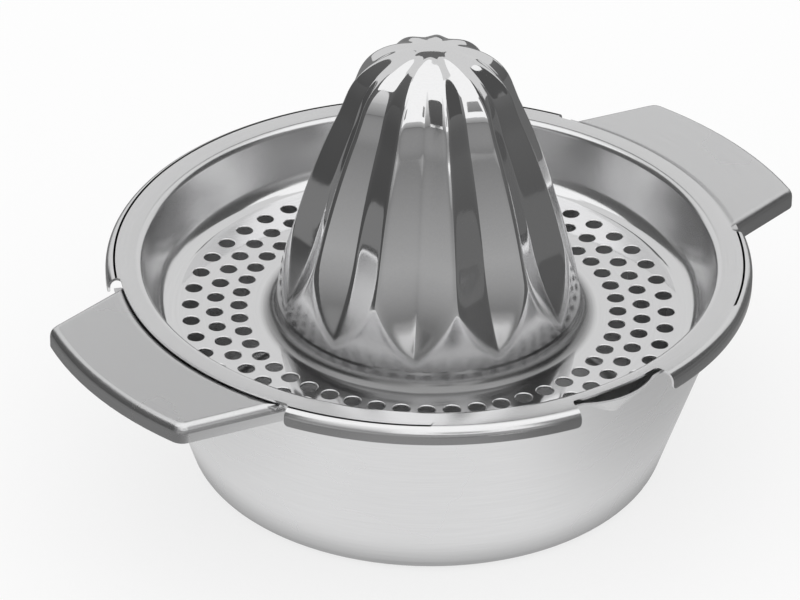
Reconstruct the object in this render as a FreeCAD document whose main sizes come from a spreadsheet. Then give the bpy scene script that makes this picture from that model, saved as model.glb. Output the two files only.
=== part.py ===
import FreeCAD, Part
import math
import os
import Sketcher

# Driving dimensions, in millimetres, degrees and plain counts. Heights are above the table.
driving = {
    # bowl
    "bowlSheet": 0.7,
    "rimHeight": 49.0,
    "mouthRadius": 69.3,
    "bowlFlare": 16.3,
    "baseCorner": 4.5,
    # ear handles
    "handleReach": 89.4,
    "handleTipHalf": 25.3,
    "handleRootHalf": 30.0,
    "handleRootInset": 5.3,
    "handleCorner": 3.2,
    "handleBend": 2.0,
    "flangeDepth": 4.3,
    "mouthRoll": 4.0,
    # spout
    "spoutReach": 2.2,
    "spoutRadius": 18.0,
    "spoutHeight": 7.5,
    "spoutToe": 1.2,
    # strainer dish and rim
    "strainerSheet": 0.6,
    "dishDepth": 14.0,
    "lipInset": 4.7,
    "dishFlare": 3.0,
    "floorCorner": 2.6,
    "lipBend": 1.8,
    "skirtReach": 3.2,
    "shoulderBend": 2.2,
    "skirtDrop": 3.9,
    "skirtCorner": 1.0,
    "handleNotchReach": 0.3,
    "handleNotchGap": 2.0,
    "spoutNotchInset": 1.7,
    "spoutNotchGap": 2.4,
    # pierced floor
    "holeDiameter": 3.75,
    "holeInset": 8.0,
    "ringSpacing": 5.45,
    "holeCount": 48,
    # fluted cone
    "coneRadius": 34.5,
    "coneHeight": 66.9,
    "flankRadius": 160.0,
    "flankDrop": 16.0,
    "footFillet": 2.8,
    "fluteCount": 12,
    "crestLand": 2.4,
    "valleyShare": 0.86,
    "fluteFoot": 5.5,
    "fluteFull": 19.0,
    "flutePhase": 17.6,
}


class Size:
    """A number together with the expression that works it out from the sheet's cells."""

    def __init__(self, value, text):
        self.value = float(value)
        self.text = text

    def join(self, sign, other, value):
        text = other.text if isinstance(other, Size) else repr(other)
        return Size(value, f"({self.text} {sign} {text})")

    def __add__(self, other):
        return self.join("+", other, self.value + numberOf(other))

    def __sub__(self, other):
        return self.join("-", other, self.value - numberOf(other))

    def __mul__(self, other):
        return self.join("*", other, self.value * numberOf(other))

    def __truediv__(self, other):
        return self.join("/", other, self.value / numberOf(other))

    def __neg__(self):
        return Size(-self.value, f"(-1 * {self.text})")

    def root(self):
        return Size(math.sqrt(self.value), f"sqrt({self.text})")

    def sine(self):
        return Size(math.sin(math.radians(self.value)), f"sin({self.text})")

    def cosine(self):
        return Size(math.cos(math.radians(self.value)), f"cos({self.text})")

    def arcsine(self):
        return Size(math.degrees(math.asin(self.value)), f"asin({self.text})")

    def arccosine(self):
        return Size(math.degrees(math.acos(self.value)), f"acos({self.text})")


def numberOf(size):
    return size.value if isinstance(size, Size) else float(size)


doc = FreeCAD.newDocument("citrus_juicer")
sheet = doc.addObject("Spreadsheet::Sheet", "sizes")
for row, (name, value) in enumerate(driving.items(), 1):
    sheet.set(f"A{row}", name)
    sheet.set(f"B{row}", str(value))
    sheet.setAlias(f"B{row}", name)
doc.recompute()


def size(name):
    return Size(driving[name], f"sizes.{name}")


nought = Size(0.0, "0")
twice = Size(2, "2")
halfTurn = Size(180, "180")


def bind(thing, prop, amount):
    """Give a property its number and tie it to the sheet."""
    thing.setExpression(prop, amount.text)


def originPart(body, role):
    return next(item for item in body.Origin.OriginFeatures if item.Role == role)


def sketchOn(body, name, role, height=None):
    """A sketch on one of the body's own origin planes, raised to a height."""
    sketch = body.newObject("Sketcher::SketchObject", name)
    sketch.AttachmentSupport = [(originPart(body, role), "")]
    sketch.MapMode = "FlatFace"
    if height is not None:
        sketch.AttachmentOffset = FreeCAD.Placement(
            FreeCAD.Vector(0, 0, height.value), FreeCAD.Rotation())
        sketch.setExpression("AttachmentOffset.Base.z", height.text)
    return sketch


def fix(sketch, kind, amount, *where):
    """Add a dimension to the sketch and tie it to the sheet."""
    index = sketch.addConstraint(Sketcher.Constraint(kind, *where, amount.value))
    sketch.setExpression(f"Constraints[{index}]", amount.text)


def place(sketch, geometry, point, x, y):
    """Dimension a point from the sketch's origin. A zero puts it on the axis."""
    for kind, axis, amount in (("DistanceX", -2, x), ("DistanceY", -1, y)):
        if amount is nought:
            sketch.addConstraint(Sketcher.Constraint("PointOnObject", geometry, point, axis))
        else:
            fix(sketch, kind, amount, -1, 1, geometry, point)


def drawPolygon(sketch, corners):
    """Closed outline of straight lines through dimensioned corners."""
    points = [FreeCAD.Vector(x.value, y.value, 0) for x, y in corners]
    first = sketch.GeometryCount
    count = len(points)
    for i in range(count):
        sketch.addGeometry(Part.LineSegment(points[i], points[(i + 1) % count]), False)
    for i in range(count):
        sketch.addConstraint(
            Sketcher.Constraint("Coincident", first + i, 2, first + (i + 1) % count, 1))
    for i, (x, y) in enumerate(corners):
        place(sketch, first + i, 1, x, y)


def drawCircle(sketch, x, y, radius):
    centre = FreeCAD.Vector(x.value, y.value, 0)
    circle = sketch.addGeometry(Part.Circle(centre, FreeCAD.Vector(0, 0, 1), radius.value), False)
    place(sketch, circle, 3, x, y)
    fix(sketch, "Radius", radius, circle)


def revolve(body, name, sketch, kind="Revolution"):
    feature = body.newObject(f"PartDesign::{kind}", name)
    feature.Profile = sketch
    feature.ReferenceAxis = (sketch, ["V_Axis"])
    feature.Angle = 360
    doc.recompute()
    return feature


def pattern(body, name, feature, count):
    """Repeat a feature round the vertical axis."""
    copies = body.newObject("PartDesign::PolarPattern", name)
    copies.Originals = [feature]
    copies.Axis = (originPart(body, "Z_Axis"), [""])
    copies.Angle = 360
    copies.Occurrences = int(count.value)
    copies.setExpression("Occurrences", count.text)
    body.Tip = copies
    doc.recompute()
    return copies


def edgesWhere(feature, test):
    """Names of the feature's edges whose box passes a test."""
    return [f"Edge{i}" for i, edge in enumerate(feature.Shape.Edges, 1) if test(edge)]


# Edges are told apart to this distance.
near = 0.02


def isRing(edge, radius, height):
    """True for a level edge round the vertical axis at this radius and height."""
    if edge.Degenerated:
        return False
    curve = edge.Curve
    if not isinstance(curve, Part.Circle):
        return False
    centre = curve.Center
    return (abs(curve.Radius - radius.value) < near and abs(centre.z - height.value) < near
            and math.hypot(centre.x, centre.y) < near)


def roundEdges(body, name, base, edges, radius):
    fillet = body.newObject("PartDesign::Fillet", name)
    fillet.Base = (base, edges)
    fillet.Radius = radius.value
    bind(fillet, "Radius", radius)
    doc.recompute()
    return fillet


# Sizes that both pieces share.
rimHeight = size("rimHeight")
bowlSheet = size("bowlSheet")
strainerSheet = size("strainerSheet")
mouthRadius = size("mouthRadius")
bandTop = rimHeight + strainerSheet
floorTop = bandTop - size("dishDepth")
floorUnder = floorTop - strainerSheet
skirtFoot = bandTop - size("skirtDrop")
rimRadius = mouthRadius + size("skirtReach")
lipRadius = mouthRadius - size("lipInset")
floorRadius = lipRadius - size("dishFlare")

# Cutters reach this far past what they cut, and a handle's hollow this far inside the wall.
overcut = 1.0
hollowOverlap = 4.0


def drawArc(sketch, radius, start, end):
    """Arc round the sketch's origin. Its ends are dimensioned or joined by the caller."""
    circle = Part.Circle(FreeCAD.Vector(0, 0, 0), FreeCAD.Vector(0, 0, 1), radius.value)
    arc = sketch.addGeometry(Part.ArcOfCircle(circle, start, end), False)
    sketch.addConstraint(Sketcher.Constraint("Coincident", arc, 3, -1, 1))
    fix(sketch, "Radius", radius, arc)
    return arc


def drawLine(sketch, start, end):
    points = [FreeCAD.Vector(x.value, y.value, 0) for x, y in (start, end)]
    return sketch.addGeometry(Part.LineSegment(*points), False)


def join(sketch, *pairs):
    for first, firstEnd, second, secondEnd in pairs:
        sketch.addConstraint(Sketcher.Constraint("Coincident", first, firstEnd, second, secondEnd))


def drawBothEars(sketch, middleHalf, tipHalf, reach):
    """One bar for both handles: tapered sides and a round end at each side."""
    tip = (reach * reach - tipHalf * tipHalf).root()
    swing = math.asin(tipHalf.value / reach.value)
    right = drawArc(sketch, reach, -swing, swing)
    left = drawArc(sketch, reach, math.pi - swing, math.pi + swing)
    lines = [drawLine(sketch, (tip, tipHalf), (nought, middleHalf)),
             drawLine(sketch, (nought, middleHalf), (-tip, tipHalf)),
             drawLine(sketch, (-tip, -tipHalf), (nought, -middleHalf)),
             drawLine(sketch, (nought, -middleHalf), (tip, -tipHalf))]
    join(sketch, (right, 2, lines[0], 1), (lines[0], 2, lines[1], 1), (lines[1], 2, left, 1),
         (left, 2, lines[2], 1), (lines[2], 2, lines[3], 1), (lines[3], 2, right, 1))
    place(sketch, lines[1], 1, nought, middleHalf)
    place(sketch, lines[3], 1, nought, -middleHalf)
    for line, y in ((lines[0], tipHalf), (lines[2], -tipHalf)):
        fix(sketch, "DistanceY", y, -1, 1, line, 1)
    fix(sketch, "DistanceY", -tipHalf, -1, 1, lines[3], 2)
    fix(sketch, "DistanceY", tipHalf, -1, 1, lines[1], 2)


def drawEarHollow(sketch, start, startHalf, tipHalf, reach):
    """Inside of one handle: from inside the bowl's wall to just short of the tip."""
    tip = (reach * reach - tipHalf * tipHalf).root()
    swing = math.asin(tipHalf.value / reach.value)
    end = drawArc(sketch, reach, -swing, swing)
    lines = [drawLine(sketch, (tip, tipHalf), (start, startHalf)),
             drawLine(sketch, (start, startHalf), (start, -startHalf)),
             drawLine(sketch, (start, -startHalf), (tip, -tipHalf))]
    join(sketch, (end, 2, lines[0], 1), (lines[0], 2, lines[1], 1),
         (lines[1], 2, lines[2], 1), (lines[2], 2, end, 1))
    place(sketch, lines[1], 1, start, startHalf)
    place(sketch, lines[2], 1, start, -startHalf)
    fix(sketch, "DistanceY", tipHalf, -1, 1, lines[0], 1)
    fix(sketch, "DistanceY", -tipHalf, -1, 1, lines[2], 2)


def levelEdge(edge, height):
    box = edge.BoundBox
    return box.ZLength < near and abs(box.ZMin - height.value) < near


def uprightEdge(edge):
    box = edge.BoundBox
    return box.ZLength > bowlSheet.value / 2 and box.XLength < near and box.YLength < near


def extrude(body, kind, name, sketch, length, reverse):
    feature = body.newObject(f"PartDesign::{kind}", name)
    feature.Profile = sketch
    feature.Reversed = reverse
    feature.Length = length.value
    bind(feature, "Length", length)
    doc.recompute()
    return feature


def loft(body, kind, name, sketches):
    feature = body.newObject(f"PartDesign::{kind}", name)
    feature.Profile = sketches[0]
    feature.Sections = sketches[1:]
    doc.recompute()
    return feature


def buildBowl():
    body = doc.addObject("PartDesign::Body", "bowl")
    body.Label = "bowl"
    reach = size("handleReach")
    tipHalf = size("handleTipHalf")
    root = mouthRadius - size("handleRootInset")
    rootHalf = size("handleRootHalf")
    depth = size("flangeDepth")
    corner = size("handleCorner")
    bend = size("handleBend")

    # The handles start as one flat bar, as deep as their flanges.
    tip = (reach * reach - tipHalf * tipHalf).root()
    taper = (rootHalf - tipHalf) / (tip - root)
    outline = sketchOn(body, "handle_outline", "XY_Plane", rimHeight)
    drawBothEars(outline, rootHalf + taper * root, tipHalf, reach)
    extrude(body, "Pad", "handle_bar", outline, depth, True)

    # Under each handle the bar is hollow, which leaves a plate with a flange all round.
    side = bowlSheet * (taper * taper + 1.0).root()
    start = root - hollowOverlap
    under = sketchOn(body, "handle_hollow_outline", "XY_Plane", rimHeight - depth)
    drawEarHollow(under, start, rootHalf + taper * (root - start) - side, tipHalf - side, reach - bowlSheet)
    hollow = extrude(body, "Pocket", "handle_hollow", under, depth - bowlSheet, True)
    last = pattern(body, "handle_hollows", hollow, twice)

    def tipUpright(edge, inside):
        height = edge.BoundBox.ZLength
        deep = abs(height - depth.value) > near
        return uprightEdge(edge) and abs(edge.BoundBox.XMin) > root.value and deep == inside

    last = roundEdges(body, "hollow_corners", last,
                       edgesWhere(last, lambda e: tipUpright(e, True)), corner - bowlSheet)
    last = roundEdges(body, "hollow_bend", last,
                       edgesWhere(last, lambda e: levelEdge(e, rimHeight - bowlSheet)), bend - bowlSheet)
    last = roundEdges(body, "handle_corners", last,
                       edgesWhere(last, lambda e: tipUpright(e, False)), corner)
    roundEdges(body, "handle_bend", last, edgesWhere(last, lambda e: levelEdge(e, rimHeight)), bend)

    # Flared wall and flat base, still solid.
    profile = sketchOn(body, "outer_profile", "XZ_Plane")
    base = mouthRadius - size("bowlFlare")
    drawPolygon(profile, [(nought, nought), (base, nought), (mouthRadius, rimHeight), (nought, rimHeight)])
    revolve(body, "outer_form", profile)

    # Where a handle leaves the wall, the sheet rolls over in one bend. The metal under it is added
    # here, and its top is cut to the same bend once the bowl is hollow.
    slope = size("bowlFlare") / rimHeight
    flare = (slope * slope + 1.0).root()
    wall = bowlSheet * flare
    roll = size("mouthRoll")
    rollAngle = ((rootHalf - bowlSheet / 2) / mouthRadius).arcsine() * 2
    centre = (mouthRadius - wall + roll * (flare - slope), rimHeight - roll)
    innerBend = roll - bowlSheet
    below = sketchOn(body, "roll_under_profile", "XZ_Plane")
    wallSide = (centre[0] - innerBend / flare, centre[1] + innerBend * slope / flare)
    plateSide = (centre[0], rimHeight - bowlSheet)
    drawRoll(below, centre, innerBend, wallSide, plateSide, (
        (centre[0], rimHeight - bowlSheet / 2), (mouthRadius - wall / 2, rimHeight - bowlSheet / 2),
        (wallSide[0] - wall / 2, wallSide[1])))
    fill = sweep(body, "Revolution", "roll_under", below, rollAngle)
    pattern(body, "rolls_under", fill, twice)

    # The spout is a horn pressed out of the wall.
    toeHeight = rimHeight - size("spoutHeight")
    toeRadius = size("spoutToe")
    toeCentre = mouthRadius - slope * size("spoutHeight") - toeRadius - bowlSheet
    lipCentre = mouthRadius + size("spoutReach") - size("spoutRadius")

    def hornSections(name, inset):
        sections = []
        for end, height, centre, radius in (
                ("toe", toeHeight, toeCentre, toeRadius), ("lip", rimHeight, lipCentre, size("spoutRadius"))):
            section = sketchOn(body, f"{name}_{end}", "XY_Plane", height)
            drawCircle(section, nought, -centre, radius - inset if inset else radius)
            sections.append(section)
        return sections

    loft(body, "AdditiveLoft", "spout_form", hornSections("spout_outer", None))

    # The inside is cut out last, a sheet's thickness behind the outside.
    innerFoot = base + slope * bowlSheet - wall
    inside = sketchOn(body, "inner_profile", "XZ_Plane")
    drawPolygon(inside, [(nought, bowlSheet), (innerFoot, bowlSheet),
                         (mouthRadius - wall + slope * overcut, rimHeight + overcut),
                         (nought, rimHeight + overcut)])
    revolve(body, "inner_form", inside, "Groove")
    above = sketchOn(body, "roll_profile", "XZ_Plane")
    wallSide = (centre[0] - roll / flare, centre[1] + roll * slope / flare)
    plateSide = (centre[0], rimHeight)
    drawRoll(above, centre, roll, wallSide, plateSide, (
        (centre[0], rimHeight + overcut), (wallSide[0] - overcut, rimHeight + overcut),
        (wallSide[0] - overcut, wallSide[1])))
    turn = sweep(body, "Groove", "roll", above, rollAngle)
    pattern(body, "rolls", turn, twice)
    last = loft(body, "SubtractiveLoft", "spout_channel", hornSections("spout_inner", bowlSheet))
    last = roundEdges(body, "inner_corner", last,
                       edgesWhere(last, lambda e: isRing(e, innerFoot, bowlSheet)),
                       size("baseCorner") - bowlSheet)
    roundEdges(body, "base_corner", last, edgesWhere(last, lambda e: isRing(e, base, nought)),
                size("baseCorner"))
    return body


def domeShape(inset):
    """The flank arc's radius and reach past the axis, and the tip arc's radius and centre above the floor."""
    flank = size("flankRadius") - inset
    drop = size("flankDrop")
    offset = (flank * flank - drop * drop).root() - (size("coneRadius") - inset)
    rise = size("coneHeight") - inset + drop
    tipRadius = (flank * flank - offset * offset - rise * rise) / ((flank - rise) * 2)
    return flank, offset, tipRadius, size("coneHeight") - inset - tipRadius


def domeTurn(offset, tipCentre):
    """Angle at which the flank arc runs into the tip arc."""
    return math.atan2(tipCentre.value + size("flankDrop").value, offset.value)


def drawDome(sketch, inset, foot):
    """Half profile of the cone: a long flank arc that runs into a small arc over the tip."""
    flank, offset, tipRadius, tipCentre = domeShape(inset)
    coneRadius = size("coneRadius") - inset
    top = floorTop + size("coneHeight") - inset
    low = floorTop - size("flankDrop")
    turn = domeTurn(offset, tipCentre)
    start = math.asin(size("flankDrop").value / flank.value)
    up = FreeCAD.Vector(0, 0, 1)
    tipMiddle = FreeCAD.Vector(0, (floorTop + tipCentre).value, 0)
    flankMiddle = FreeCAD.Vector(-offset.value, low.value, 0)
    tipCircle = Part.Circle(tipMiddle, up, tipRadius.value)
    flankCircle = Part.Circle(flankMiddle, up, flank.value)
    tipArc = sketch.addGeometry(Part.ArcOfCircle(tipCircle, turn, math.pi / 2), False)
    flankArc = sketch.addGeometry(Part.ArcOfCircle(flankCircle, start, turn), False)
    lines = [drawLine(sketch, (nought, top), (nought, foot)),
             drawLine(sketch, (nought, foot), (coneRadius, foot)),
             drawLine(sketch, (coneRadius, foot), (coneRadius, floorTop))]
    join(sketch, (tipArc, 2, lines[0], 1), (lines[0], 2, lines[1], 1),
         (lines[1], 2, lines[2], 1), (lines[2], 2, flankArc, 1))
    sketch.addConstraint(Sketcher.Constraint("Tangent", flankArc, 2, tipArc, 1))
    sketch.addConstraint(Sketcher.Constraint("PointOnObject", tipArc, 3, -2))
    place(sketch, lines[0], 1, nought, top)
    place(sketch, lines[1], 1, nought, foot)
    place(sketch, lines[2], 1, coneRadius, foot)
    place(sketch, flankArc, 1, coneRadius, floorTop)
    fix(sketch, "Radius", flank, flankArc)
    fix(sketch, "DistanceY", low, -1, 1, flankArc, 3)


def crestRadius(height):
    """Radius of the cone's crests at a height above the floor."""
    flank, offset, tipRadius, tipCentre = domeShape(nought)
    meet = tipCentre.value + tipRadius.value * math.sin(domeTurn(offset, tipCentre))
    if height.value < meet:
        level = height + size("flankDrop")
        return (flank * flank - level * level).root() - offset
    level = height - tipCentre
    return (tipRadius * tipRadius - level * level).root()


# A flute's circles stand clear of the crests at both ends, and crowd towards the tip, where the
# crests turn in. Heights are shares of the way from the full depth to the tip.
clearShare = 1.02
stationShares = (0.0, 0.36, 0.66, 0.84, 0.95)
tipShare = 0.995


def cutFlutes(body, name, inset):
    """Hollow flutes, each a loft through circles that stand outside the cone."""
    half = halfTurn / size("fluteCount") - size("crestLand") / 2
    valley = size("valleyShare")
    sagitta = half.cosine() - valley
    chord = half.sine()
    share = (chord * chord + sagitta * sagitta) / (sagitta * 2)
    height = size("coneHeight")
    full = size("fluteFull")
    phase = size("flutePhase")
    stations = [(size("fluteFoot"), clearShare),
                *((full + (height - full) * along, valley) for along in stationShares),
                (height * tipShare, clearShare)]
    sections = []
    for number, (level, bottom) in enumerate(stations):
        crest = crestRadius(level)
        radius = crest * share
        centre = crest * bottom + radius
        section = sketchOn(body, f"{name}_{number}", "XY_Plane", floorTop + level)
        drawCircle(section, centre * phase.cosine(), centre * phase.sine(), radius + inset)
        sections.append(section)
    flute = loft(body, "SubtractiveLoft", name, sections)
    return pattern(body, f"{name}_ring", flute, size("fluteCount"))


def drawRoll(sketch, centre, radius, wallSide, plateSide, corners):
    """A bend's arc from the wall to the plate, closed by straight lines through the corners."""
    circle = Part.Circle(FreeCAD.Vector(centre[0].value, centre[1].value, 0),
                         FreeCAD.Vector(0, 0, 1), radius.value)
    lean = math.atan2((wallSide[1] - centre[1]).value, (wallSide[0] - centre[0]).value)
    arc = sketch.addGeometry(Part.ArcOfCircle(circle, math.pi / 2, lean), False)
    points = [plateSide, *corners, wallSide]
    lines = [drawLine(sketch, a, b) for a, b in zip(points, points[1:])]
    join(sketch, (arc, 1, lines[0], 1), *((a, 2, b, 1) for a, b in zip(lines, lines[1:])),
         (lines[-1], 2, arc, 2))
    for line, (x, y) in zip(lines[1:], corners):
        place(sketch, line, 1, x, y)
    place(sketch, arc, 3, *centre)
    fix(sketch, "Radius", radius, arc)
    fix(sketch, "DistanceX", plateSide[0], -1, 1, lines[0], 1)
    fix(sketch, "DistanceY", wallSide[1], -1, 1, lines[-1], 2)


def sweep(body, kind, name, sketch, angle):
    """Turn a sketch round the vertical axis, half of the angle to each side."""
    feature = body.newObject(f"PartDesign::{kind}", name)
    feature.Profile = sketch
    feature.ReferenceAxis = (sketch, ["V_Axis"])
    feature.Angle = angle.value
    feature.Midplane = True
    bind(feature, "Angle", angle)
    doc.recompute()
    return feature


def sweepCut(body, name, role, inner, angle, across):
    """Cut the rim away outside a radius, over an angle centred on the sketch plane."""
    sketch = sketchOn(body, f"{name}_outline", role)
    outer = rimRadius + overcut
    if across:
        inner = -inner
        outer = -outer
    drawPolygon(sketch, [(inner, skirtFoot - overcut), (outer, skirtFoot - overcut),
                         (outer, bandTop + overcut), (inner, bandTop + overcut)])
    return sweep(body, "Groove", name, sketch, angle)


def buildStrainer():
    body = doc.addObject("PartDesign::Body", "strainer_outside")
    rim = rimRadius
    lip = lipRadius
    floor = floorRadius
    slope = (lip - floor) / size("dishDepth")
    wall = strainerSheet * (slope * slope + 1.0).root()
    wallFoot = floor + wall - slope * strainerSheet
    wallHead = lip + wall - slope * strainerSheet
    skirtInside = rim - strainerSheet

    # Floor, dish wall, flat band and skirt in one sheet.
    profile = sketchOn(body, "sheet_profile", "XZ_Plane")
    drawPolygon(profile, [
        (nought, floorUnder), (wallFoot, floorUnder), (wallHead, rimHeight), (skirtInside, rimHeight),
        (skirtInside, skirtFoot), (rim, skirtFoot), (rim, bandTop), (lip, bandTop),
        (floor, floorTop), (nought, floorTop)])
    last = revolve(body, "dish", profile)
    for name, radius, height, bend in (
            ("floor_corner", floor, floorTop, size("floorCorner")),
            ("floor_corner_under", wallFoot, floorUnder, size("floorCorner") + strainerSheet),
            ("lip_bend", lip, bandTop, size("lipBend")),
            ("lip_bend_under", wallHead, rimHeight, size("lipBend") - strainerSheet),
            ("shoulder", rim, bandTop, size("shoulderBend")),
            ("shoulder_under", skirtInside, rimHeight, size("shoulderBend") - strainerSheet)):
        last = roundEdges(body, name, last, edgesWhere(last, lambda e: isRing(e, radius, height)), bend)

    # The cone stands on the floor, solid for now.
    dome = sketchOn(body, "cone_profile", "XZ_Plane")
    drawDome(dome, nought, floorUnder)
    cone = revolve(body, "cone", dome)
    roundEdges(body, "cone_foot", cone,
               edgesWhere(cone, lambda e: isRing(e, size("coneRadius"), floorTop)), size("footFillet"))
    cutFlutes(body, "flute", nought)

    # The rim is cut away over both handles and at the spout.
    handleNotchAngle = ((size("handleRootHalf") + size("handleNotchGap")) / mouthRadius).arcsine() * 2
    horn = size("spoutRadius")
    hornCentre = mouthRadius + size("spoutReach") - horn
    hornHalf = ((hornCentre * hornCentre + mouthRadius * mouthRadius - horn * horn)
                / (hornCentre * mouthRadius * 2)).arccosine()
    spoutNotchAngle = (hornHalf + (size("spoutNotchGap") / mouthRadius).arcsine()) * 2
    handleCut = sweepCut(body, "handle_notch", "XZ_Plane",
                         mouthRadius + size("handleNotchReach"), handleNotchAngle, False)
    pattern(body, "handle_notches", handleCut, twice)
    spoutCut = sweepCut(body, "spout_notch", "YZ_Plane",
                        mouthRadius - size("spoutNotchInset"), spoutNotchAngle, True)

    def skirtEnd(edge):
        return levelEdge(edge, skirtFoot) and abs(edge.Length - strainerSheet.value) < near

    roundEdges(body, "skirt_corners", spoutCut, edgesWhere(spoutCut, skirtEnd), size("skirtCorner"))

    # Three rings of holes, the middle one half a pitch off.
    holes = sketchOn(body, "hole_centres", "XY_Plane", floorTop)
    half = halfTurn / size("holeCount")
    for ring, turn in ((0, None), (1, half), (2, None)):
        radius = floorRadius - size("holeInset") - size("ringSpacing") * ring
        x, y = (radius, nought) if turn is None else (radius * turn.cosine(), radius * turn.sine())
        drawCircle(holes, x, y, size("holeDiameter") / 2)
    drill = extrude(body, "Pocket", "holes", holes, strainerSheet * 3, False)
    pattern(body, "hole_rings", drill, size("holeCount"))

    # The hollow behind the cone has the same flutes, a sheet's thickness further in.
    core = doc.addObject("PartDesign::Body", "cone_hollow")
    hollow = sketchOn(core, "hollow_profile", "XZ_Plane")
    drawDome(hollow, strainerSheet, floorUnder - overcut)
    revolve(core, "hollow_form", hollow)
    cutFlutes(core, "hollow_flute", strainerSheet)

    strainer = doc.addObject("Part::Cut", "strainer")
    strainer.Label = "strainer"
    strainer.Base = body
    strainer.Tool = core
    strainer.Refine = True
    doc.recompute()
    return strainer


pieces = [buildBowl(), buildStrainer()]
doc.recompute()
faults = [f"{item.Label}: {item.State}" for item in doc.Objects
          if "Invalid" in item.State or "Error" in item.State]
if faults:
    raise RuntimeError("failed objects: " + "; ".join(faults))
for piece in pieces:
    if piece.Shape.isNull() or not piece.Shape.isValid():
        raise RuntimeError(f"{piece.Label} has no valid shape")
    if len(piece.Shape.Solids) != 1:
        raise RuntimeError(f"{piece.Label} has {len(piece.Shape.Solids)} solids, not 1")
os.makedirs("parts", exist_ok=True)
for piece in pieces:
    piece.Shape.exportStep(f"parts/{piece.Label}.step")
    box = piece.Shape.BoundBox
    print(f"{piece.Label}: volume {piece.Shape.Volume:.0f} mm3, box {box.XLength:.2f} x {box.YLength:.2f}"
          f" x {box.ZLength:.2f}, base at {box.ZMin:.2f}, faces {len(piece.Shape.Faces)}")
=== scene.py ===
import bmesh
import bpy
import math
from mathutils import Matrix, Vector


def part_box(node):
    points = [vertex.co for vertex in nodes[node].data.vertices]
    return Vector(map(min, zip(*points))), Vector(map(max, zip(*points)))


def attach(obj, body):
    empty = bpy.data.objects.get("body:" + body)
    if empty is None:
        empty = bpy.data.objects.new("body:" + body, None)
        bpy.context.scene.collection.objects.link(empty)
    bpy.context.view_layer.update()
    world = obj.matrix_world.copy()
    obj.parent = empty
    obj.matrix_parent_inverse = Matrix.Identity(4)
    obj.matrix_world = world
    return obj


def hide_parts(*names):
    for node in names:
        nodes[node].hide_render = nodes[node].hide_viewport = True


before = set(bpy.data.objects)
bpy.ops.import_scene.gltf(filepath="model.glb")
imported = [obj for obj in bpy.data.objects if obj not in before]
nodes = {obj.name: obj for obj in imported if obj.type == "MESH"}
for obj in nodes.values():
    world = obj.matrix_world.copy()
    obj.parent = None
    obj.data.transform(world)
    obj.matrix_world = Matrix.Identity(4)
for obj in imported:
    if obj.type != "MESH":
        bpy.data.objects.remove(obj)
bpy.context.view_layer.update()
mm = 0.001

# Camera: focal length and offsets were fitted to the rings of holes and the rim in the photograph.
view = {
    "azimuth": 37.17,
    "elevation": 31.64,
    "roll": 0.75,
    "distance": 1287.1,
    "right": 6.38,
    "down": 1.72,
    "aimHeight": 35.6,
    "focalPixels": 5711,
    "imageWidth": 800,
    "sensor": 36.0,
    "clipEnd": 20,
}


# The camera looks at the strainer's floor from the photograph's side.
def makeCamera():
    turn = Matrix.Rotation(math.radians(-view["azimuth"]), 3, "Z")
    rise = math.radians(view["elevation"])
    roll = math.radians(view["roll"])
    right = Vector((1, 0, 0))
    up = Vector((0, math.sin(rise), math.cos(rise)))
    ahead = Vector((0, math.cos(rise), -math.sin(rise)))
    rolledRight = right * math.cos(roll) + up * math.sin(roll)
    rolledUp = up * math.cos(roll) - right * math.sin(roll)
    spot = rolledUp * view["down"] - rolledRight * view["right"] - ahead * view["distance"]
    data = bpy.data.cameras.new("camera")
    data.sensor_width = view["sensor"]
    data.lens = view["focalPixels"] * view["sensor"] / view["imageWidth"]
    data.clip_end = view["clipEnd"]
    camera = bpy.data.objects.new("camera", data)
    axes = Matrix((turn @ rolledRight, turn @ rolledUp, turn @ -ahead)).transposed()
    place = (turn @ spot + Vector((0, 0, view["aimHeight"]))) * mm
    camera.matrix_world = Matrix.Translation(place) @ axes.to_4x4()
    bpy.context.scene.collection.objects.link(camera)
    bpy.context.scene.camera = camera


# Strainer, in millimetres and degrees. Heights are above the pierced floor's top face.
low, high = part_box("strainer")
sheet = 0.6
floorTop = low.z / mm + sheet
strainerSizes = {
    "rimRadius": high.y / mm,
    "dishDepth": 14.0,
    "lipRadius": 64.6,
    "dishFlare": 4.2,
    "floorCorner": 5.0,
    "lipBend": 1.8,
    "shoulderBend": 2.2,
    "skirtDrop": 3.9,
    "skirtCorner": 1.0,
    "edgeSoft": 0.12,
    "floorMargin": 0.1,
    # where the skirt is cut away: middle and half width as angles, and radius of the edge
    "notches": [(0, 27.5, 69.6), (180, 27.5, 69.6), (270, 10.1, 67.6)],
    "notchCorner": 1.2,
    "bendSteps": 12,
    "shoulderSteps": 14,
    "columns": 480,
    "cornerColumns": (-1.0, -0.6, -0.3, -0.12, 0, 0.12, 0.3, 0.6, 1.0),
    "sharpAngle": 40,
}
onEnd = 1e-6  # a column this near a notch's end, in degrees, stands on it


# Points on an arc, angles in degrees, both ends included.
def arcPoints(centre, radius, start, end, steps):
    points = []
    for i in range(steps + 1):
        angle = math.radians(start + (end - start) * i / steps)
        points.append((centre[0] + radius * math.cos(angle), centre[1] + radius * math.sin(angle)))
    return points


# A ring of vertices. The radius may be one number or one for each angle.
def addRing(mesh, radius, height, angles, centre=(0.0, 0.0)):
    ring = []
    for i, angle in enumerate(angles):
        r = radius[i] if isinstance(radius, list) else radius
        x = centre[0] + r * math.cos(angle)
        y = centre[1] + r * math.sin(angle)
        ring.append(mesh.verts.new((x * mm, y * mm, (floorTop + height) * mm)))
    return ring


def joinRings(mesh, first, second):
    count = len(first)
    for i in range(count):
        j = (i + 1) % count
        mesh.faces.new((first[i], first[j], second[j], second[i]))


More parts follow.
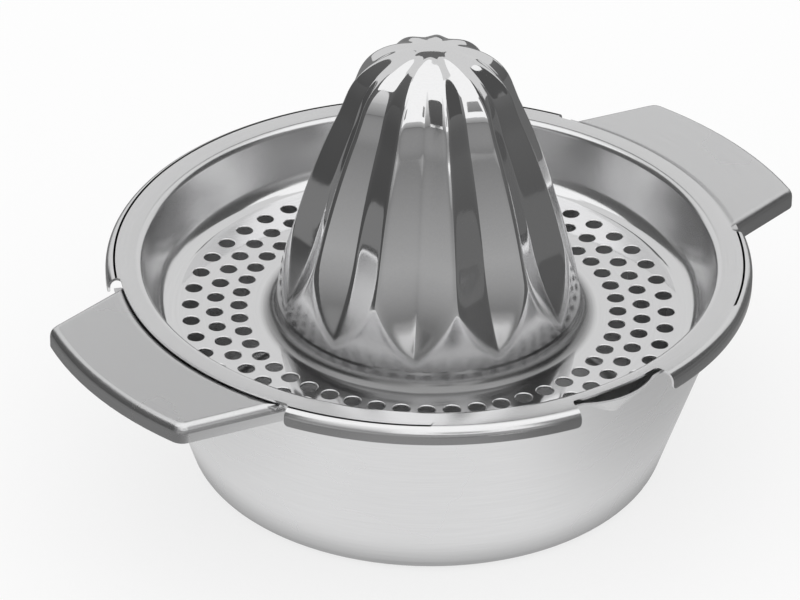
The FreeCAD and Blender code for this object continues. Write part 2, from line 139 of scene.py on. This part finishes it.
# Flat face between rings of vertices, with the inner ones left open.
def fillFlat(mesh, rings):
    edges = []
    for ring in rings:
        for i, vertex in enumerate(ring):
            pair = (vertex, ring[(i + 1) % len(ring)])
            edges.append(mesh.edges.get(pair) or mesh.edges.new(pair))
    made = bmesh.ops.triangle_fill(mesh, use_beauty=True, use_dissolve=False, edges=edges)
    for item in made["geom"]:
        if isinstance(item, bmesh.types.BMFace):
            item.smooth = False


# The nearest notch: how many degrees the angle lies outside it, negative inside, and its radius.
def notchFor(angle):
    found = []
    for middle, half, radius in strainerSizes["notches"]:
        away = abs((angle - middle + 180) % 360 - 180)
        found.append((away - half, radius))
    return min(found)


# Column angles: even, with more of them close to each notch's ends for its round corners.
def rimAngles():
    s = strainerSizes
    angles = {round(360 * i / s["columns"], 4) for i in range(s["columns"])}
    for middle, half, radius in s["notches"]:
        for side in (-1, 1):
            for share in s["cornerColumns"]:
                angles.add(round((middle + side * (half + share)) % 360, 4))
    return sorted(angles)


# How far a round corner stands in from the edge at a distance along it.
def cornerRise(distance, radius):
    gap = max(radius - max(distance, 0.0), 0.0)
    return radius - math.sqrt(radius * radius - gap * gap)


# Dish wall, band, shoulder and notched skirt as one sheet. Returns its two inner rings.
def buildRim(mesh):
    s = strainerSizes
    slope = s["dishFlare"] / s["dishDepth"]
    lean = math.degrees(math.atan(slope))
    flare = math.sqrt(slope * slope + 1)
    top = s["dishDepth"]
    rim = s["rimRadius"]
    corner = s["floorCorner"]
    foot = (s["lipRadius"] - s["dishFlare"] + slope * corner - corner * flare, corner)
    bend = s["lipBend"]
    lip = (s["lipRadius"] - slope * bend + bend * flare, top - bend)
    shoulder = (rim - s["shoulderBend"], top - s["shoulderBend"])
    innerRows = []
    outerRows = []
    for side in (0, sheet):
        floorArc = arcPoints(foot, corner + side, -90, -lean, s["bendSteps"])
        lipArc = arcPoints(lip, bend - side, 180 - lean, 90, s["bendSteps"])
        innerRows.append([(foot[0] - s["floorMargin"], -side), *floorArc, *lipArc])
        outerRows.append(arcPoints(shoulder, s["shoulderBend"] - side, 90, 0, s["shoulderSteps"]))
    columns = []
    for angle in rimAngles():
        outside, radius = notchFor(angle)
        arc = math.radians(abs(outside)) * rim
        end = radius + (cornerRise(arc, s["notchCorner"]) if outside <= 0 else s["notchCorner"])
        turn = math.radians(angle)
        skirtFoot = top - s["skirtDrop"] + cornerRise(arc, s["skirtCorner"])

        def place(r, z):
            return mesh.verts.new((r * math.cos(turn) * mm, r * math.sin(turn) * mm, (floorTop + z) * mm))

        column = {"outside": outside, "inner": [], "outer": []}
        for side, rows, bends in ((0, innerRows[0], outerRows[0]), (sheet, innerRows[1], outerRows[1])):
            level = top - side
            column["inner"].append([place(r, z) for r, z in rows] + [place(end, level)])
            if outside > -onEnd:
                edge = rim - side
                soft = s["edgeSoft"] * (1 if side == 0 else -1)
                column["outer"].append([place(r, z) for r, z in bends] + [
                    place(edge, skirtFoot + s["edgeSoft"]), place(edge - soft, skirtFoot)])
        columns.append(column)
    count = len(columns)
    for i, column in enumerate(columns):
        other = columns[(i + 1) % count]
        full = column["outer"] and other["outer"] and max(column["outside"], other["outside"]) > onEnd
        for side in (0, 1):
            here = list(column["inner"][side])
            there = list(other["inner"][side])
            if full:
                here += column["outer"][side]
                there += other["outer"][side]
            for k in range(len(here) - 1):
                mesh.faces.new((here[k], here[k + 1], there[k + 1], there[k]))
        strip = "outer" if full else "inner"
        upperHere, underHere = [rows[-1] for rows in column[strip]]
        upperThere, underThere = [rows[-1] for rows in other[strip]]
        mesh.faces.new((upperHere, underHere, underThere, upperThere))
        if abs(column["outside"]) <= onEnd:
            upper = [column["inner"][0][-1], *column["outer"][0]]
            under = [column["inner"][1][-1], *column["outer"][1]]
            for k in range(len(upper) - 1):
                mesh.faces.new((upper[k], upper[k + 1], under[k + 1], under[k]))
    return [[column["inner"][side][0] for column in columns] for side in (0, 1)]


holeSizes = {
    "radius": 1.875,
    "ring": 53.6,
    "spacing": 5.45,
    "count": 48,
    "rings": 3,
    "lip": 0.22,
    "lipAngles": (0, 30, 60, 90),
    "segments": 28,
}


# Walls of the rings of holes, with a soft edge above and below. Returns their top and bottom rings.
def buildHoles(mesh):
    s = holeSizes
    around = [2 * math.pi * i / s["segments"] for i in range(s["segments"])]
    rows = []
    for angle in map(math.radians, s["lipAngles"]):
        rows.append((s["radius"] + s["lip"] * (1 - math.sin(angle)), -s["lip"] * (1 - math.cos(angle))))
    upper, under = [], []
    for ring in range(s["rings"]):
        radius = s["ring"] - s["spacing"] * ring
        for number in range(s["count"]):
            turn = 2 * math.pi * (number + 0.5 * (ring % 2)) / s["count"]
            centre = (radius * math.cos(turn), radius * math.sin(turn))
            rings = [addRing(mesh, r, z, around, centre) for r, z in rows]
            rings += [addRing(mesh, r, -sheet - z, around, centre) for r, z in reversed(rows)]
            for first, second in zip(rings, rings[1:]):
                joinRings(mesh, first, second)
            upper.append(rings[0])
            under.append(rings[-1])
    return upper, under


coneSizes = {
    "height": high.z / mm - floorTop,
    "radius": 34.5,
    "flank": 160.0,  # radius of the arc that the flank follows
    "drop": 16.0,  # how far that arc's centre lies below the floor
    "footFillet": 2.8,
    "floorMargin": 0.3,
    "flutes": 11,
    "phase": 31.0,
    "fluteStart": 4.0,  # the cone is round below this height
    "wallAngle": 19.45,
    "runOutHeight": 6.5,
    "runOutAngle": 31.0,  # lean of each flute's lower end, from upright
    "runOutSoft": 3.6,
    "tipStart": 50.0,
    "tipBulge": 3.6,  # about three times what it adds to the dome's radius
    "capRadius": 2.2,  # the flutes end here, and start to fade this much further out:
    "capFade": 3.6,
    "fullCrest": 10.0,  # crests have their full softness from this radius on
    "leastCrest": 2.0,
    "crestSoft": 0.8,
    "valleySoft": 0.5,
    "columnsPerFlute": 40,
    "crowding": 0.6,
    "filletRows": 14,
    "fineBelow": 24,
    "fineRow": 0.4,
    "flankRow": 0.9,
    "lastRow": 0.2,
    "tipRows": 40,
    "underDetail": 0.5,
}


# (radius, height) from the foot of the cone to its tip, without the flutes.
def crestProfile(inset, fine):
    s = coneSizes
    flank = s["flank"] - inset
    coneRadius = s["radius"] - inset
    height = s["height"] - inset
    offset = math.sqrt(flank ** 2 - s["drop"] ** 2) - coneRadius
    rise = height + s["drop"]
    tip = (flank ** 2 - offset ** 2 - rise ** 2) / (2 * (flank - rise))
    centre = height - tip
    turn = math.atan2(centre + s["drop"], offset)
    fillet = s["footFillet"] + inset
    reach = math.sqrt((flank + fillet) ** 2 - (s["footFillet"] + s["drop"]) ** 2) - offset
    start = math.asin((s["footFillet"] + s["drop"]) / (flank + fillet))
    points = arcPoints((reach, s["footFillet"]), fillet, 270, 180 + math.degrees(start), s["filletRows"])

    def bulge(level):
        along = max((level - s["tipStart"]) / (height - s["tipStart"]), 0.0)
        return s["tipBulge"] * along ** 1.5 * math.sqrt(1 - along)

    level = points[-1][1]
    top = flank * math.sin(turn) - s["drop"]
    while level < top - s["lastRow"]:
        step = s["fineRow"] if level < s["fineBelow"] else s["flankRow"]
        level = min(level + step / fine, top)
        points.append((math.sqrt(flank ** 2 - (level + s["drop"]) ** 2) - offset + bulge(level), level))
    tipRows = int(s["tipRows"] * fine)
    for i in range(1, tipRows):
        angle = turn + (math.pi / 2 - turn) * i / tipRows
        level = centre + tip * math.sin(angle)
        points.append((tip * math.cos(angle) + bulge(level), level))
    return points, height


# The lesser of two values, eased over a distance where they cross.
def softMin(first, second, soft):
    blend = max(soft - abs(first - second), 0.0) / soft
    return min(first, second) - blend * blend * soft / 4


# Radius of a flute's bottom: a share of the crest's, run out at the foot and round the tip.
def valleyRadius(crest, height, inset):
    s = coneSizes
    half = math.pi / s["flutes"]
    wall = math.radians(s["wallAngle"])
    share = math.cos(half + wall) / math.cos(wall)
    near = min(max((crest - s["capRadius"]) / s["capFade"], 0.0), 1.0)
    near = near * near * (3 - 2 * near)
    valley = crest * (1 - (1 - share) * near)
    footLevel = s["runOutHeight"]
    offset = math.sqrt(s["flank"] ** 2 - s["drop"] ** 2) - s["radius"]
    footRadius = math.sqrt(s["flank"] ** 2 - (footLevel + s["drop"]) ** 2) - offset
    ramp = footRadius - inset - (height - footLevel) * math.tan(math.radians(s["runOutAngle"]))
    return -softMin(-valley, -ramp, s["runOutSoft"])


# Radius of the fluted cone at an angle: two flat walls that meet in each flute, eased at every corner.
def fluteRadius(crest, valley, angle):
    s = coneSizes
    wall = math.radians(s["wallAngle"])
    pitch = 2 * math.pi / s["flutes"]
    away = abs((angle - math.radians(s["phase"]) + pitch / 2) % pitch - pitch / 2)
    soft = s["valleySoft"] / max(crest, s["leastCrest"])
    here = valley * math.cos(wall) / math.cos(math.sqrt(away * away + soft * soft) + wall)
    there = valley * math.cos(wall) / math.cos(pitch - away + wall)
    ease = s["crestSoft"] * min(1.0, crest / s["fullCrest"])
    return softMin(softMin(here, there, ease), crest + ease / 5, ease)


# Column angles, closer together at each crest and in each flute than between them.
def coneAngles(perFlute):
    s = coneSizes
    angles = []
    for flute in range(s["flutes"]):
        for i in range(perFlute):
            along = i / perFlute
            along -= s["crowding"] * math.sin(4 * math.pi * along) / (4 * math.pi)
            angles.append(math.radians(s["phase"]) + 2 * math.pi * (flute + along) / s["flutes"])
    return angles


# One side of the cone's sheet. Returns its ring on the floor.
def buildCone(mesh, inset, fine):
    angles = coneAngles(int(coneSizes["columnsPerFlute"] * fine))
    columns = len(angles)
    profile, height = crestProfile(inset, fine)
    level = -inset
    outerRing = addRing(mesh, profile[0][0] + coneSizes["floorMargin"], level, angles)
    last = outerRing
    for crest, z in profile:
        valley = valleyRadius(crest, z, inset)
        fluted = z > coneSizes["fluteStart"]
        radii = [fluteRadius(crest, valley, angle) for angle in angles] if fluted else crest
        ring = addRing(mesh, radii, max(z, level), angles)
        joinRings(mesh, last, ring)
        last = ring
    tip = mesh.verts.new((0, 0, (floorTop + height) * mm))
    for i in range(columns):
        mesh.faces.new((last[i], last[(i + 1) % columns], tip))
    return outerRing


def buildStrainer():
    mesh = bmesh.new()
    upperRim, underRim = buildRim(mesh)
    upperHoles, underHoles = buildHoles(mesh)
    upperCone = buildCone(mesh, 0.0, 1.0)
    underCone = buildCone(mesh, sheet, coneSizes["underDetail"])
    for face in mesh.faces:
        face.smooth = True
    fillFlat(mesh, [upperRim, upperCone, *upperHoles])
    fillFlat(mesh, [underRim, underCone, *underHoles])
    bmesh.ops.recalc_face_normals(mesh, faces=mesh.faces)
    sharp = math.radians(strainerSizes["sharpAngle"])
    for edge in mesh.edges:
        if len(edge.link_faces) == 2 and edge.calc_face_angle() > sharp:
            edge.smooth = False
    openEdges = sum(len(edge.link_faces) != 2 for edge in mesh.edges)
    print("strainer mesh:", len(mesh.verts), "vertices,", len(mesh.faces), "faces,", openEdges, "open edges")
    data = bpy.data.meshes.new("strainer_sheet")
    mesh.to_mesh(data)
    mesh.free()
    piece = bpy.data.objects.new("strainer_sheet", data)
    bpy.context.scene.collection.objects.link(piece)
    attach(piece, "strainer")
    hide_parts("strainer")
    return piece


# A node group that both steels use. Returns it with its input and output nodes.
def newGroup(name, inputs, outputs):
    group = bpy.data.node_groups.new(name, "ShaderNodeTree")
    for label, kind, value in inputs:
        socket = group.interface.new_socket(label, in_out="INPUT", socket_type=kind)
        if value is not None:
            socket.default_value = value
    for label, kind in outputs:
        group.interface.new_socket(label, in_out="OUTPUT", socket_type=kind)
    return group, group.nodes.new("NodeGroupInput"), group.nodes.new("NodeGroupOutput")


def addMath(tree, operation, *values):
    node = tree.nodes.new("ShaderNodeMath")
    node.operation = operation
    for i, value in enumerate(values):
        if isinstance(value, (int, float)):
            node.inputs[i].default_value = value
        else:
            tree.links.new(value, node.inputs[i])
    return node.outputs[0]


# Turns a position into distance around the axis, distance out and height.
def roundGroup():
    group, into, out = newGroup("round_the_axis", [
        ("Position", "NodeSocketVector", None), ("Radius", "NodeSocketFloat", 0.065)],
        [("Around", "NodeSocketVector")])
    parts = group.nodes.new("ShaderNodeSeparateXYZ")
    group.links.new(into.outputs["Position"], parts.inputs[0])
    angle = addMath(group, "ARCTAN2", parts.outputs["Y"], parts.outputs["X"])
    along = addMath(group, "MULTIPLY", angle, into.outputs["Radius"])
    squares = addMath(group, "ADD", addMath(group, "MULTIPLY", parts.outputs["X"], parts.outputs["X"]),
                      addMath(group, "MULTIPLY", parts.outputs["Y"], parts.outputs["Y"]))
    join = group.nodes.new("ShaderNodeCombineXYZ")
    group.links.new(along, join.inputs["X"])
    group.links.new(addMath(group, "SQRT", squares), join.inputs["Y"])
    group.links.new(parts.outputs["Z"], join.inputs["Z"])
    group.links.new(join.outputs[0], out.inputs["Around"])
    return group


# Fine lines that run along X of the given vector, from 0 to 1.
def brushGroup():
    group, into, out = newGroup("brush_lines", [
        ("Vector", "NodeSocketVector", None), ("Fineness", "NodeSocketFloat", 4000.0),
        ("Length", "NodeSocketFloat", 60.0)],
        [("Lines", "NodeSocketFloat")])
    shrink = addMath(group, "DIVIDE", 1.0, into.outputs["Length"])
    scale = group.nodes.new("ShaderNodeCombineXYZ")
    group.links.new(shrink, scale.inputs["X"])
    scale.inputs["Y"].default_value = 1
    scale.inputs["Z"].default_value = 1
    stretch = group.nodes.new("ShaderNodeVectorMath")
    stretch.operation = "MULTIPLY"
    group.links.new(into.outputs["Vector"], stretch.inputs[0])
    group.links.new(scale.outputs[0], stretch.inputs[1])
    noise = group.nodes.new("ShaderNodeTexNoise")
    noise.inputs["Detail"].default_value = 3
    noise.inputs["Roughness"].default_value = 0.6
    group.links.new(stretch.outputs[0], noise.inputs["Vector"])
    group.links.new(into.outputs["Fineness"], noise.inputs["Scale"])
    group.links.new(noise.outputs["Fac"], out.inputs["Lines"])
    return group


# Soft handling marks: a value that varies about a base.
def smudgeGroup():
    group, into, out = newGroup("smudges", [
        ("Vector", "NodeSocketVector", None), ("Scale", "NodeSocketFloat", 60.0),
        ("Base", "NodeSocketFloat", 0.1), ("Amount", "NodeSocketFloat", 0.05)],
        [("Value", "NodeSocketFloat")])
    noise = group.nodes.new("ShaderNodeTexNoise")
    noise.inputs["Detail"].default_value = 4
    group.links.new(into.outputs["Vector"], noise.inputs["Vector"])
    group.links.new(into.outputs["Scale"], noise.inputs["Scale"])
    centred = addMath(group, "SUBTRACT", noise.outputs["Fac"], 0.5)
    change = addMath(group, "MULTIPLY", centred, into.outputs["Amount"])
    group.links.new(addMath(group, "ADD", change, into.outputs["Base"]), out.inputs["Value"])
    return group


groups = {"round": roundGroup(), "brush": brushGroup(), "smudge": smudgeGroup()}


def useGroup(tree, name, **values):
    node = tree.nodes.new("ShaderNodeGroup")
    node.node_tree = groups[name]
    for label, value in values.items():
        if isinstance(value, (int, float)):
            node.inputs[label].default_value = value
        else:
            tree.links.new(value, node.inputs[label])
    return node.outputs[0]


bowlFinish = {
    "colour": (0.81, 0.81, 0.815),
    "roughness": 0.27,
    "roughnessSpread": 0.06,
    "anisotropy": 0.4,
    "brushDepth": 0.02,
    "brushStrength": 0.12,
    "brushTone": 0.05,
    "smudgeScale": 35.0,
}
# The cone's foot and the rolled rim keep a spun satin finish. The cone's lower part and the floor next to it
# also get painted shade, a darker colour. The rest is polished.
strainerFinish = {
    "colour": (0.88, 0.88, 0.885),
    "roughness": 0.055,
    "roughnessSpread": 0.04,
    "anisotropy": 0.0,
    "brushDepth": 0.02,
    "brushStrength": 0.03,
    "brushTone": 0.03,
    "smudgeScale": 45.0,
    "waveDepth": 1.0,
    "waveStrength": 0.05,
    "waveScale": 55.0,
    # painted shade: the share of the colour left at the cone's foot
    "paintedShadeShare": 0.34,
    "footRoughness": 0.2,
    "footHeight": 22.0,
    "footReach": 4.0,
    "footBlend": 3.0,
    "rimRoughness": 0.15,
    "rimStart": 58.5,
    "rimEnd": 61.0,
}


def mapRange(tree, value, low, high, toLow=0.0, toHigh=1.0):
    node = tree.nodes.new("ShaderNodeMapRange")
    node.interpolation_type = "SMOOTHSTEP"
    for label, number in (("From Min", low), ("From Max", high), ("To Min", toLow), ("To Max", toHigh)):
        node.inputs[label].default_value = number
    tree.links.new(value, node.inputs["Value"])
    return node.outputs[0]


# Masks for the satin zones of the strainer, from distance out and height. The foot's mask also lays painted
# shade on the colour.
def satinAndShadeZones(tree, around):
    f = strainerFinish
    parts = tree.nodes.new("ShaderNodeSeparateXYZ")
    tree.links.new(around, parts.inputs[0])
    reach = coneSizes["radius"] + f["footReach"]
    low = mapRange(tree, parts.outputs["Z"], (floorTop + f["footHeight"]) * mm, floorTop * mm)
    near = mapRange(tree, parts.outputs["Y"], reach * mm, (reach - f["footBlend"]) * mm)
    rim = mapRange(tree, parts.outputs["Y"], f["rimStart"] * mm, f["rimEnd"] * mm)
    return addMath(tree, "MULTIPLY", low, near), rim


def steel(name, finish, zones=None):
    material = bpy.data.materials.new(name)
    material.use_nodes = True
    tree = material.node_tree
    shader = tree.nodes["Principled BSDF"]
    shader.inputs["Metallic"].default_value = 1
    shader.inputs["Anisotropic"].default_value = finish["anisotropy"]
    place = tree.nodes.new("ShaderNodeTexCoord").outputs["Object"]
    around = useGroup(tree, "round", Position=place)
    lines = useGroup(tree, "brush", Vector=around)
    rough = useGroup(tree, "smudge", Vector=place, Scale=finish["smudgeScale"], Base=finish["roughness"],
                     Amount=finish["roughnessSpread"])
    tone = mapRange(tree, lines, 0.0, 1.0, 1 - finish["brushTone"], 1 + finish["brushTone"])
    if zones:
        foot, rim = zones(tree, around)
        rough = addMath(tree, "ADD", rough, addMath(tree, "MULTIPLY", foot, finish["footRoughness"]))
        rough = addMath(tree, "ADD", rough, addMath(tree, "MULTIPLY", rim, finish["rimRoughness"]))
        # Painted shade: the colour is darkened at the cone's foot.
        paintedFootShade = addMath(tree, "MULTIPLY", foot, 1 - finish["paintedShadeShare"])
        tone = addMath(tree, "MULTIPLY", tone, addMath(tree, "SUBTRACT", 1.0, paintedFootShade))
    tree.links.new(rough, shader.inputs["Roughness"])
    colour = tree.nodes.new("ShaderNodeVectorMath")
    colour.operation = "SCALE"
    colour.inputs[0].default_value = finish["colour"]
    tree.links.new(tone, colour.inputs["Scale"])
    tree.links.new(colour.outputs[0], shader.inputs["Base Color"])
    bump = tree.nodes.new("ShaderNodeBump")
    bump.inputs["Distance"].default_value = finish["brushDepth"] * mm
    bump.inputs["Strength"].default_value = finish["brushStrength"]
    tree.links.new(lines, bump.inputs["Height"])
    if "waveScale" in finish:
        wave = tree.nodes.new("ShaderNodeBump")
        wave.inputs["Distance"].default_value = finish["waveDepth"] * mm
        wave.inputs["Strength"].default_value = finish["waveStrength"]
        height = useGroup(tree, "smudge", Vector=place, Scale=finish["waveScale"], Base=0.5, Amount=1.0)
        tree.links.new(height, wave.inputs["Height"])
        tree.links.new(wave.outputs[0], bump.inputs["Normal"])
    tree.links.new(bump.outputs[0], shader.inputs["Normal"])
    return material


# Studio. Azimuths are measured from the camera's side towards the right, elevations up from the floor.
studio = {
    "worldStrength": 1.0,
    "floorHalf": 3,
    "floorColour": (0.95, 0.95, 0.95, 1),
    "floorWhite": 0.72,
    # what reflections see of the floor: its brightness, and from where to where it changes. The changes are
    # painted: a painted shadow near the bowl's foot, painted shade far off, and painted shade to the right
    # and, less, to the left
    "nearTone": 0.84,
    "footPaintedShadow": 0.42,
    "footZone": (0.053, 0.060),
    "farPaintedShade": 0.24,
    "farZone": (0.100, 0.128),
    "rightPaintedShade": 0.6,
    "rightZone": (0.025, 0.085),
    "leftPaintedShade": 0.82,
    "leftZone": (-0.085, -0.030),
    "cardEye": 0.075,
    "cardRows": 16,
    "cardStep": 6,
    "cardColumns": 4,
    "cardLow": 0.001,
    "cardRise": 0.0001,
    "cards": [
        # name, distance, left, right, lowest, highest, grey at its foot, grey at its head
        ("table_front", 0.42, -44, 38, -10, 9.5, 0.40, 0.22),
        ("table_left", 0.42, -135, -44, -10, 14, 0.07, 0.10),
        ("table_right", 0.42, 38, 135, -6.5, 14, 0.10, 0.14),
        ("sill", 0.9, -44, 38, 5, 9, 0.12, 0.12),
        ("room_front", 0.9, -12, 38, 9, 16, 0.27, 0.50),
        ("room_left", 0.9, -44, -12, 9, 26, 0.24, 0.45),
        ("curtain_left", 0.9, -44, -12, 26, 64, 0.50, 0.90),
        ("window_post", 0.9, 4, 20, 24, 40, 0.22, 0.32),
        ("wall_left", 0.9, -130, -44, 12, 46, 0.08, 0.12),
        ("wall_right", 0.9, 38, 78, 12, 48, 0.17, 0.24),
        ("wall_side", 0.9, 78, 125, 12, 50, 0.08, 0.08),
        ("ceiling_back", 1.2, 170, 194, 36, 50, 0.14, 0.14),
        ("backdrop", 1.6, 120, 240, -2, 60, 0.68, 0.68),
        # The last four cards lie on the floor and only reflections see them: the dark ones are painted
        # shade, and the bright one is a painted glint.
        ("floor_shade", 0.24, 1, 14, -36, -24, 0.10, 0.10),
        ("floor_glint", 0.24, 17, 28, -36, -24, 0.90, 0.90),
        ("floor_left_shade", 0.24, -150, -84, -34, -19, 0.10, 0.16),
        ("floor_right_shade", 0.24, 95, 150, -34, -19, 0.10, 0.16),
    ],
}


def makeWorld():
    world = bpy.data.worlds.new("studio")
    bpy.context.scene.world = world
    world.use_nodes = True
    background = world.node_tree.nodes["Background"]
    background.inputs["Color"].default_value = (1, 1, 1, 1)
    background.inputs["Strength"].default_value = studio["worldStrength"]


# Painted shade on the floor in reflections: its brightness by distance from the object, and to its left and
# right.
def paintedFloorTone(tree):
    s = studio
    place = tree.nodes.new("ShaderNodeTexCoord").outputs["Object"]
    reach = tree.nodes.new("ShaderNodeVectorMath")
    reach.operation = "LENGTH"
    tree.links.new(place, reach.inputs[0])
    turn = math.radians(-view["azimuth"])
    across = tree.nodes.new("ShaderNodeVectorMath")
    across.operation = "DOT_PRODUCT"
    across.inputs[1].default_value = (math.cos(turn), math.sin(turn), 0)
    tree.links.new(place, across.inputs[0])
    near = mapRange(tree, reach.outputs["Value"], *s["footZone"], s["footPaintedShadow"], s["nearTone"])
    far = mapRange(tree, reach.outputs["Value"], *s["farZone"], 1.0, s["farPaintedShade"] / s["nearTone"])
    right = mapRange(tree, across.outputs["Value"], *s["rightZone"], 1.0, s["rightPaintedShade"])
    left = mapRange(tree, across.outputs["Value"], *s["leftZone"], s["leftPaintedShade"], 1.0)
    return addMath(tree, "MULTIPLY", addMath(tree, "MULTIPLY", near, far),
                   addMath(tree, "MULTIPLY", right, left))


# White to the camera but for the object's shadow, and toned with painted shade where metal reflects it.
def makeFloor():
    half = studio["floorHalf"]
    mesh = bpy.data.meshes.new("floor")
    mesh.from_pydata([(-half, -half, 0), (half, -half, 0), (half, half, 0), (-half, half, 0)],
                     [], [(0, 1, 2, 3)])
    floor = bpy.data.objects.new("floor", mesh)
    bpy.context.scene.collection.objects.link(floor)
    material = bpy.data.materials.new("floor")
    material.use_nodes = True
    tree = material.node_tree
    shader = tree.nodes["Principled BSDF"]
    shader.inputs["Base Color"].default_value = studio["floorColour"]
    shader.inputs["Roughness"].default_value = 1
    shader.inputs["Specular IOR Level"].default_value = 0
    glow = tree.nodes.new("ShaderNodeEmission")
    path = tree.nodes.new("ShaderNodeLightPath")
    direct = addMath(tree, "MULTIPLY", path.outputs["Is Camera Ray"], studio["floorWhite"])
    mirrored = addMath(tree, "MAXIMUM", path.outputs["Is Glossy Ray"], path.outputs["Is Transmission Ray"])
    # painted shade: how much the floor's glow in reflections is dimmed
    paintedFloorShade = addMath(tree, "MULTIPLY", mirrored, addMath(tree, "SUBTRACT", 1.0, paintedFloorTone(tree)))
    tree.links.new(addMath(tree, "SUBTRACT", 1.0, paintedFloorShade), glow.inputs["Strength"])
    mix = tree.nodes.new("ShaderNodeMixShader")
    tree.links.new(addMath(tree, "MAXIMUM", direct, mirrored), mix.inputs["Fac"])
    tree.links.new(shader.outputs[0], mix.inputs[1])
    tree.links.new(glow.outputs[0], mix.inputs[2])
    tree.links.new(mix.outputs[0], tree.nodes["Material Output"].inputs["Surface"])
    mesh.materials.append(material)


# A curved card round the object, which only reflections see.
def makeCard(name, distance, left, right, lowest, highest, footGrey, headGrey):
    s = studio
    rows = s["cardRows"]
    columns = max(s["cardColumns"], int((right - left) / s["cardStep"]))
    points = []
    for i in range(rows + 1):
        up = math.radians(lowest + (highest - lowest) * i / rows)
        least = s["cardLow"] + s["cardRise"] * i
        for j in range(columns + 1):
            side = math.radians(left + (right - left) * j / columns - 90 - view["azimuth"])
            level = distance * math.sin(up) + s["cardEye"]
            out = distance * math.cos(up)
            points.append((out * math.cos(side), out * math.sin(side), max(level, least)))
    faces = []
    for i in range(rows):
        for j in range(columns):
            corner = i * (columns + 1) + j
            faces.append((corner, corner + 1, corner + columns + 2, corner + columns + 1))
    mesh = bpy.data.meshes.new("card_" + name)
    mesh.from_pydata(points, [], faces)
    card = bpy.data.objects.new("card_" + name, mesh)
    bpy.context.scene.collection.objects.link(card)
    material = bpy.data.materials.new("card_" + name)
    material.use_nodes = True
    tree = material.node_tree
    tree.nodes.remove(tree.nodes["Principled BSDF"])
    glow = tree.nodes.new("ShaderNodeEmission")
    parts = tree.nodes.new("ShaderNodeSeparateXYZ")
    tree.links.new(tree.nodes.new("ShaderNodeTexCoord").outputs["Generated"], parts.inputs[0])
    fade = tree.nodes.new("ShaderNodeMapRange")
    fade.inputs["To Min"].default_value = footGrey
    fade.inputs["To Max"].default_value = headGrey
    tree.links.new(parts.outputs["Z"], fade.inputs["Value"])
    tree.links.new(fade.outputs[0], glow.inputs["Strength"])
    tree.links.new(glow.outputs[0], tree.nodes["Material Output"].inputs["Surface"])
    mesh.materials.append(material)
    card.visible_camera = False
    card.visible_diffuse = False
    card.visible_shadow = False


makeCamera()
makeWorld()
makeFloor()
for card in studio["cards"]:
    makeCard(*card)
print("studio done")

bowl = nodes["bowl"]
bowl.data.materials.clear()
bowl.data.materials.append(steel("bowl_steel", bowlFinish))
strainer = buildStrainer()
strainer.data.materials.append(steel("strainer_steel", strainerFinish, satinAndShadeZones))
print("pieces done")

bpy.context.scene.view_settings.view_transform = "Standard"
